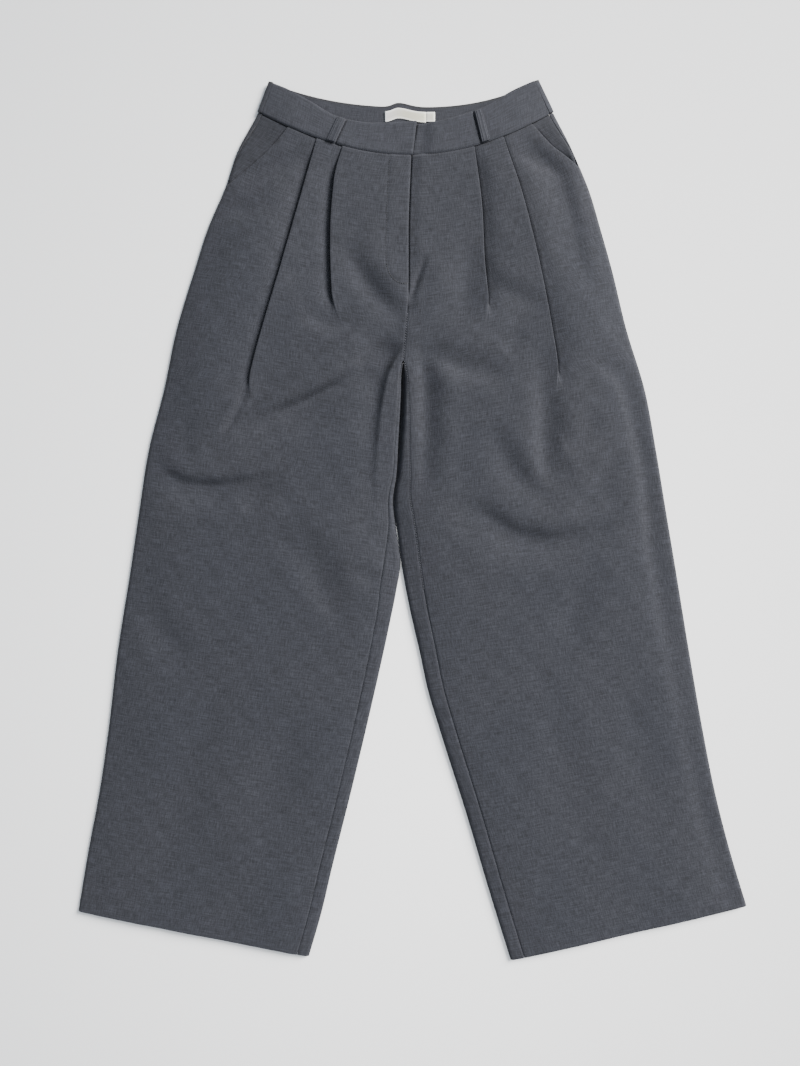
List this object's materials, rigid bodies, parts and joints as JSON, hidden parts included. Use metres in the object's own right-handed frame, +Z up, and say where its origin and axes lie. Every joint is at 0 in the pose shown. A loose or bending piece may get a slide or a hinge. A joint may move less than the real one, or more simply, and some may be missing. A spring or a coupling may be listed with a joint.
{
  "type": "pleated dress trousers laid flat",
  "caption": "Wide-legged pleated dress trousers laid flat, front up, with a belt-looped waistband, slant pockets and a fly front.",
  "frame": {"origin": "middle of the underside, on the surface that the trousers lie on", "axes": "+X towards the wearer's left, +Y towards the waist, +Z up out of the surface, so the front faces +Z"},
  "size_m": [0.8409, 1.1089, 0.0141],
  "materials": {
    "suiting": "matt slate grey plain-weave suiting with a slubby melange yarn",
    "waistband": "the same suiting, stiffened and pressed",
    "label": "off-white woven ribbon"
  },
  "bodies": {
    "root": {"front_right": "suiting", "front_left": "suiting", "back_right": "suiting", "back_left": "suiting", "pocket_facing_right": "suiting", "pocket_facing_left": "suiting", "waistband_front_right": "waistband", "waistband_front_left": "waistband", "waistband_back": "waistband", "belt_loop_front_right": "waistband", "belt_loop_front_left": "waistband", "belt_loop_back_right": "waistband", "belt_loop_back_left": "waistband", "belt_loop_centre_back": "waistband", "label": "label", "size_tab": "label"}
  },
  "joints": []
}
